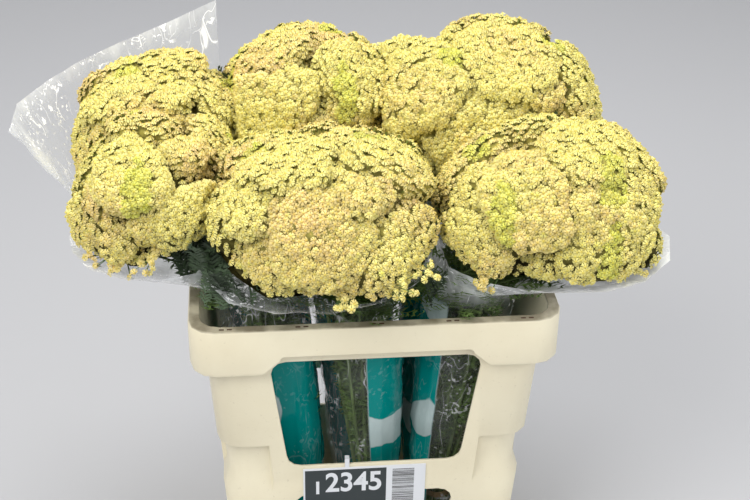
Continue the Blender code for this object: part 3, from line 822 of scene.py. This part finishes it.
# The print runs from one angle to another, up to a height. The collar is how milky the film is round the
# crown, which also sets a painted glow there, and folds are where it is doubled: a coarse side, half a width,
# a strength and a lowest height.
ALL_ROUND = (-3.2, 3.2)
PRINTED = {
    "front_left": (-2.6, 0.2, 0.385), "front_middle": (-1.5, 0.1, 0.385), "front_right": (2.6, 4.1, 0.432),
    "back_left": (*ALL_ROUND, 0.432), "back_middle": (*ALL_ROUND, 0.432), "back_right": (*ALL_ROUND, 0.432),
}
COLLAR_MILK_AND_GLOW = {
    "front_left": 0.45, "front_middle": 0.24, "front_right": 0.85,
    "back_left": 0.13, "back_middle": 0.15, "back_right": 0.15,
}
# The hem's milkiness, which also sets a painted glow along it.
HEM_MILK_AND_GLOW = 0.55
TEAL, PALE_PATCH = (0.0, 0.25, 0.235, 1), (0.50, 0.60, 0.60, 1)
# The pale white that shows where the film is milky and where it carries painted sheen and reflection, then the
# white of its painted glints.
FILM_WHITE, PAINTED_GLINT_WHITE = (0.86, 0.88, 0.90, 1), (0.97, 0.98, 0.99, 1)


def sleeve_rings(bunch):
    """The film's coarse rings: reach and height for sixteen directions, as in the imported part."""
    turn = np.arange(COARSE_SIDES) / COARSE_SIDES * 2 * math.pi
    along = np.stack([np.cos(turn), np.sin(turn)], 1)
    top = np.array(BUNCHES[bunch][1]) * MM
    outward = np.maximum(0, along @ (top / np.linalg.norm(top)))
    lip = crown_width(bunch, along) * (1 + 0.12 * outward)
    rings = []
    for z, reach in BODY_RINGS:
        room = cell_reach(bunch, z, along, 0.003)
        rings.append((np.full(COARSE_SIDES, z), np.minimum(reach, room)))
    for drop, share, share_of_room in LIP_RINGS:
        z = UNDERSIDE + drop
        room = cell_reach(bunch, z, along, 0.003) * share_of_room
        rings.append((np.full(COARSE_SIDES, z), np.minimum(lip * share, room)))
    if bunch == "back_left":
        for side, (far, up) in FLARE.items():
            rings[-2][1][side] = 0.122
            rings[-1][0][side] = UNDERSIDE + up * MM
            rings[-1][1][side] = far * MM
    points = []
    for z, reach in rings:
        middle = bunch_axis(bunch, z)
        points.append(np.concatenate([middle + along * reach[:, None], z[:, None]], 1))
    return np.array(points)


def crumple(points, random, size):
    """Sideways shifts for creased film: the folded sum of slanting sine waves of falling length."""
    total = np.zeros(points.shape[:-1])
    for octave in range(7):
        wave = unit(random.normal(0, 1, 3)) * 55 * 1.6**octave
        phase = random.uniform(0, 2 * math.pi)
        total += (np.abs(np.sin(points @ wave + phase)) - 0.6) / 1.45**octave
    return total * size


def sleeve_grid(bunch, sides):
    """The coarse rings drawn out to a fine grid by straight runs, then crumpled along its normals."""
    random = np.random.default_rng(900 + ORDER.index(bunch))
    rings = sleeve_rings(bunch)
    closed = np.concatenate([rings, rings[:, :1]], 1)
    run = np.linalg.norm(np.diff(rings, axis=0), axis=2).mean(1)
    levels = np.concatenate([[0], np.cumsum(run)])
    rows = np.linspace(0, levels[-1], SLEEVE_ROWS)
    k = np.clip(np.searchsorted(levels, rows, "right") - 1, 0, len(run) - 1)
    f = ((rows - levels[k]) / run[k])[:, None, None]
    j = np.floor(sides).astype(int)
    g = (sides - j)[None, :, None]
    low = closed[k][:, j] * (1 - g) + closed[k][:, j + 1] * g
    high = closed[k + 1][:, j] * (1 - g) + closed[k + 1][:, j + 1] * g
    points = low * (1 - f) + high * f
    around = np.roll(points, -1, 1) - np.roll(points, 1, 1)
    normal = unit(np.cross(around, np.gradient(points, axis=0)))
    return points + normal * crumple(points, random, 0.0016)[..., None]


def film_marks(bunch, sides, height):
    """Where the film is printed, and how milky it is, which also sets its painted glow: at its hem, round its
    crown and where it is folded.
    """
    start, end, top = PRINTED[bunch]
    angle = (sides / COARSE_SIDES * 2 * math.pi + math.pi) % (2 * math.pi) - math.pi
    ink = ((angle - start) % (2 * math.pi) < end - start)[None] * (height < top)
    hem = np.clip((np.arange(SLEEVE_ROWS) - SLEEVE_ROWS + 2.5) / 1.5, 0, 1)[:, None] * HEM_MILK_AND_GLOW
    milk_and_glow = np.maximum(hem, np.clip((height - 0.425) / 0.03, 0, 1) * COLLAR_MILK_AND_GLOW[bunch])
    if bunch == "back_left":
        folded = np.clip(1 - np.abs(sides - 8.8) / 0.8, 0, 1) * 0.75
        milk_and_glow = np.maximum(milk_and_glow, folded[None] * (height > 0.49))
    # The front right fold goes past full milkiness, which only makes its painted glow brighter.
    if bunch == "front_right":
        folded = np.clip(1.6 - np.abs(sides - 14.0) / 1.4, 0, 1) * 1.5
        milk_and_glow = np.maximum(milk_and_glow, folded[None] * (height > 0.472))
    return ink, milk_and_glow


def sleeve_piece(bunch):
    """The film as one open sheet, with its print in the attribute ink, and in a second attribute its milkiness,
    which also drives a painted glow.
    """
    sides = np.linspace(0, COARSE_SIDES, SLEEVE_SIDES, endpoint=False)
    points = sleeve_grid(bunch, sides)
    grid = np.arange(SLEEVE_ROWS * SLEEVE_SIDES).reshape(SLEEVE_ROWS, SLEEVE_SIDES)
    right = np.roll(grid, -1, 1)
    quads = np.stack([grid[:-1], right[:-1], right[1:], grid[1:]], -1).reshape(-1, 4)
    mesh = bpy.data.meshes.new(bunch + "_film")
    mesh.from_pydata(points.reshape(-1, 3), [], quads.tolist())
    for layer, values in zip(("ink", "milk_and_glow"), film_marks(bunch, sides, points[..., 2])):
        marks = mesh.attributes.new(layer, "FLOAT", "POINT")
        marks.data.foreach_set("value", values.astype(np.float32).ravel())
    mesh.shade_smooth()
    return new_piece(bunch + "_film", mesh)


def film_finish():
    """Clear film: nearly see-through, with thin white lines and flecks in patches that are painted glints,
    milky at its hem, collar and folds with a painted glow there, a painted sheen in broad patches and a painted
    reflection where it is seen edge-on, and below it a teal print with pale patches."""
    film = Finish("clear_film", 0.12)
    film.shader["Specular IOR Level"].default_value = 0.16
    # Painted glow: how strongly the glints and the milky parts shine.
    film.shader["Emission Strength"].default_value = 0.28
    place, tall, taller = film.place(), film.place((1, 1, 0.45)), film.place((1, 1, 0.28))
    ink = film.add("ShaderNodeAttribute", attribute_name="ink").outputs["Fac"]
    milk_and_glow = film.add("ShaderNodeAttribute", attribute_name="milk_and_glow").outputs["Fac"]

    def glint_lines(where, scale, width, patches, low, high):
        """Thin lines where a noise passes its middle, kept only in patches of another."""
        off_middle = film.number("SUBTRACT", film.noise(where, scale, 2.0, Distortion=0.8), 0.5)
        line = film.band(film.number("ABSOLUTE", off_middle), 0.0, width, 1.0, 0.0)
        return film.number("MULTIPLY", line, film.band(patches, low, high))

    wide_spots = film.noise(place, 9.0, 3.0)
    more_wide = film.number("ADD", wide_spots, film.number("MULTIPLY", milk_and_glow, 0.14))
    spots = film.number("ADD", film.noise(place, 24.0, 3.0), film.number("MULTIPLY", milk_and_glow, 0.09))
    long_lines = glint_lines(taller, 30.0, 0.010, more_wide, 0.46, 0.54)
    short_lines = glint_lines(tall, 52.0, 0.022, spots, 0.52, 0.58)
    grains = film.band(film.noise(place, 150.0, 2.0), 0.60, 0.65)
    flecks = film.number("MULTIPLY", grains, film.band(spots, 0.47, 0.56))
    over_print = film.band(ink, 0.0, 1.0, 1.0, 0.12)
    by_height = film.band(film.height(), 0.40, 0.46, 0.45, 1.0)
    # Painted highlights: white glint lines and flecks, weaker over the print and inside the bucket.
    glints = film.number("MAXIMUM", long_lines, short_lines, flecks)
    glints = film.number("MULTIPLY", glints, over_print, by_height)
    # Milkiness that also feeds the painted glow, varied by a noise.
    hazy_milk_and_glow = film.number("MULTIPLY", milk_and_glow, film.band(film.noise(taller, 40.0, 4.0), 0.3, 0.7, 0.45, 1.4))
    # Painted sheen: faint pale patches.
    sheen = film.band(wide_spots, 0.45, 0.75, 0.025, 0.12)
    # Painted reflection: the film grows paler where it is seen edge-on.
    facing = film.add("ShaderNodeLayerWeight", Blend=0.3).outputs["Facing"]
    rim = film.band(facing, 0.6, 1.0, 0.0, 0.16)
    print_cover = film.number("MULTIPLY", ink, 0.97)
    seen = film.number("MAXIMUM", film.number("MULTIPLY", glints, 0.92), hazy_milk_and_glow, sheen, rim, print_cover)
    patches = film.number("MULTIPLY", film.band(film.noise(place, 13.0, 0.0), 0.61, 0.62), ink)
    printed = film.mix(patches, film.mix(ink, FILM_WHITE, TEAL), PALE_PATCH)
    # Painted glow: the glints and the milky parts give off light of their own.
    glow = film.number("MAXIMUM", glints, film.number("MULTIPLY", hazy_milk_and_glow, 0.45))
    film.feed(film.shader["Base Color"], film.mix(glints, printed, PAINTED_GLINT_WHITE))
    film.feed(film.shader["Emission Color"], glow)
    film.feed(film.shader["Alpha"], seen)
    return film.material


film_material = film_finish()
for bunch in ORDER:
    sleeve = sleeve_piece(bunch)
    sleeve.data.materials.append(film_material)
    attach(sleeve, "root")
    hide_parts(bunch + "_sleeve")

# The ties: plain tan rubber bands, one wound round each bundle of stems above its foot.
# They are the CAD's own rings.
band_material = Finish("rubber_band", 0.7, (0.36, 0.22, 0.10, 1)).material
for bunch in ORDER:
    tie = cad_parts[bunch + "_tie"]
    tie.data.materials.clear()
    tie.data.materials.append(band_material)

# The studio: a pale sweep of paper that rises in a quarter circle behind, soft light from three boxes
# high on the left, on the right and above, and the photo's camera.
SWEEP_HALF_WIDTH, SWEEP_FRONT, SWEEP_BEND_AT, SWEEP_BEND, SWEEP_TOP = 5.0, -4.0, 2.2, 1.2, 4.5


def sweep_piece():
    """The paper: a level run, a quarter circle and an upright run, carried across the room."""
    turns = np.linspace(0, math.pi / 2, 24)
    bend = np.stack([SWEEP_BEND_AT + SWEEP_BEND * np.sin(turns), SWEEP_BEND - SWEEP_BEND * np.cos(turns)], 1)
    profile = np.concatenate([[(SWEEP_FRONT, 0.0)], bend, [(SWEEP_BEND_AT + SWEEP_BEND, SWEEP_TOP)]])
    points = [(x, y, z) for y, z in profile for x in (-SWEEP_HALF_WIDTH, SWEEP_HALF_WIDTH)]
    faces = [(2 * i, 2 * i + 1, 2 * i + 3, 2 * i + 2) for i in range(len(profile) - 1)]
    mesh = bpy.data.meshes.new("studio_sweep")
    mesh.from_pydata(points, [], faces)
    mesh.shade_smooth()
    return new_piece("studio_sweep", mesh)


def softbox(name, place, aim, size, power, colour=(1, 1, 1)):
    """A square area light at place, turned to aim."""
    lamp = bpy.data.lights.new(name, "AREA")
    lamp.size, lamp.energy, lamp.color = size, power, colour
    holder = new_piece(name, lamp)
    holder.location = place
    holder.rotation_euler = (Vector(aim) - Vector(place)).to_track_quat("-Z", "Y").to_euler()


sweep = sweep_piece()
paper = Finish("pale_paper", 0.9, (0.49, 0.49, 0.50, 1))
paper.shader["Specular IOR Level"].default_value = 0.1
sweep.data.materials.append(paper.material)

sky = bpy.data.worlds.new("soft_room")
bpy.context.scene.world = sky
sky.use_nodes = True
sky.node_tree.nodes["Background"].inputs["Color"].default_value = (0.95, 0.97, 1.0, 1)
sky.node_tree.nodes["Background"].inputs["Strength"].default_value = 0.62
softbox("key_light", (-1.3, -1.5, 2.5), (0, 0, 0.45), 1.4, 44, (1.0, 0.985, 0.96))
softbox("fill_light", (1.9, -1.6, 1.3), (0, 0, 0.35), 1.8, 16)
softbox("top_light", (0.1, 0.5, 2.9), (0, 0, 0.4), 1.6, 50)
bpy.context.scene.view_settings.view_transform = "Standard"

lens = bpy.data.cameras.new("photo_camera")
lens.sensor_width = 36
lens.lens = 67.2
camera = new_piece("photo_camera", lens)
camera.matrix_world = (
    Matrix.Translation((-0.1242, -1.3691, 1.2588))
    @ Matrix.Rotation(math.radians(-5.6), 4, "Z")
    @ Matrix.Rotation(math.radians(90 - 30.6), 4, "X")
    @ Matrix.Rotation(math.radians(0.8), 4, "Z")
)
bpy.context.scene.camera = camera
